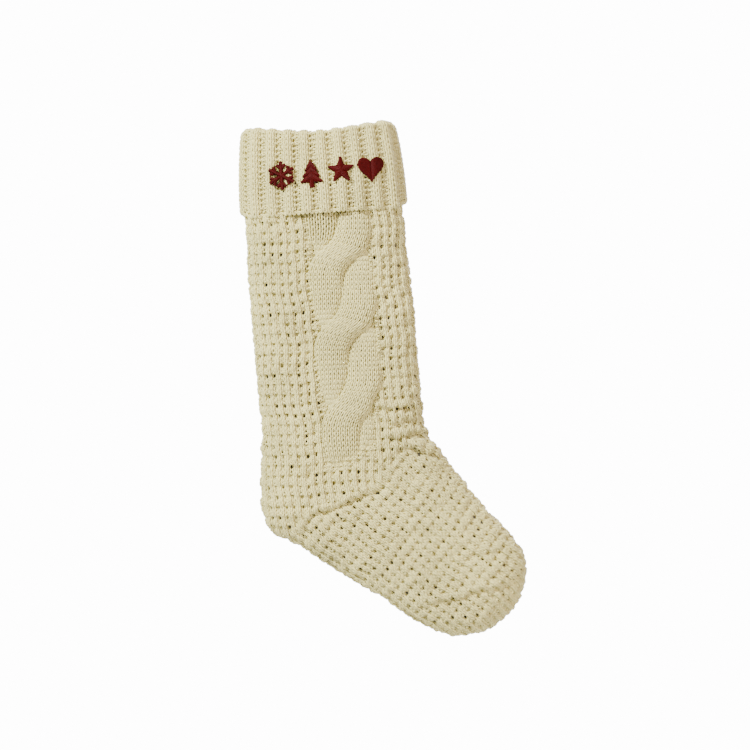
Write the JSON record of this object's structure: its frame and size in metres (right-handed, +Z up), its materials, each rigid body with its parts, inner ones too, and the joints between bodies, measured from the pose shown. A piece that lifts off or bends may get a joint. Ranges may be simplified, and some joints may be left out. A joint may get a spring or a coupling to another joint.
{
  "type": "hanging stocking",
  "caption": "Knitted ivory hanging stocking with a ribbed turned-down cuff, a cable down the leg, embroidered red motifs and a hanging loop inside the mouth.",
  "frame": {"origin": "root of the hanging loop, just inside the mouth at the heel side, where the loop turns and the hung stocking's weight is taken", "axes": "+Z up the leg to the mouth, +X towards the toe, -Y towards the front with the cable and the motifs"},
  "size_m": [0.2343, 0.0534, 0.4651],
  "materials": {
    "ivory_ribbing": "ivory chunky acrylic yarn, ribbed, matt with a slight sheen",
    "ivory_moss_knit": "ivory chunky acrylic yarn in moss stitch, matt",
    "ivory_cable_knit": "ivory yarn in close plain stitch, matt",
    "ivory_seam_yarn": "ivory yarn, linked seam",
    "ivory_loop_tape": "ivory knitted tape",
    "ivory_thread": "ivory sewing thread",
    "white_backing": "white non-woven stabiliser",
    "red_embroidery": "dark red rayon satin stitch, low sheen"
  },
  "bodies": {
    "stocking": {"cuff_bound_edge": "ivory_ribbing", "cuff_ribbed_band": "ivory_ribbing", "cuff_fold": "ivory_ribbing", "cuff_inner_ribbing": "ivory_ribbing", "leg_front_heel_side": "ivory_moss_knit", "leg_front_toe_side": "ivory_moss_knit", "leg_back": "ivory_moss_knit", "heel_pocket": "ivory_moss_knit", "foot_front": "ivory_moss_knit", "foot_back": "ivory_moss_knit", "toe_cap": "ivory_moss_knit", "leg_front_cable_panel": "ivory_cable_knit", "cable_strand_a": "ivory_cable_knit", "cable_strand_b": "ivory_cable_knit", "toe_seam": "ivory_seam_yarn", "leg_heel_side_seam": "ivory_seam_yarn", "leg_toe_side_seam": "ivory_seam_yarn", "loop_tail": "ivory_loop_tape", "loop_tack_stitches": "ivory_thread", "cuff_tack_stitches": "ivory_thread", "embroidery_backing": "white_backing", "embroidered_snowflake": "red_embroidery", "embroidered_tree": "red_embroidery", "embroidered_star": "red_embroidery", "embroidered_heart": "red_embroidery"},
    "loop": {"hanging_loop": "ivory_loop_tape"}
  },
  "joints": [
    {"name": "loop_turn", "type": "hinge", "parent": "stocking", "child": "loop", "pos_m": [0, 0, 0], "axis": [0, -1, 0], "range_deg": [0, 180]}
  ]
}
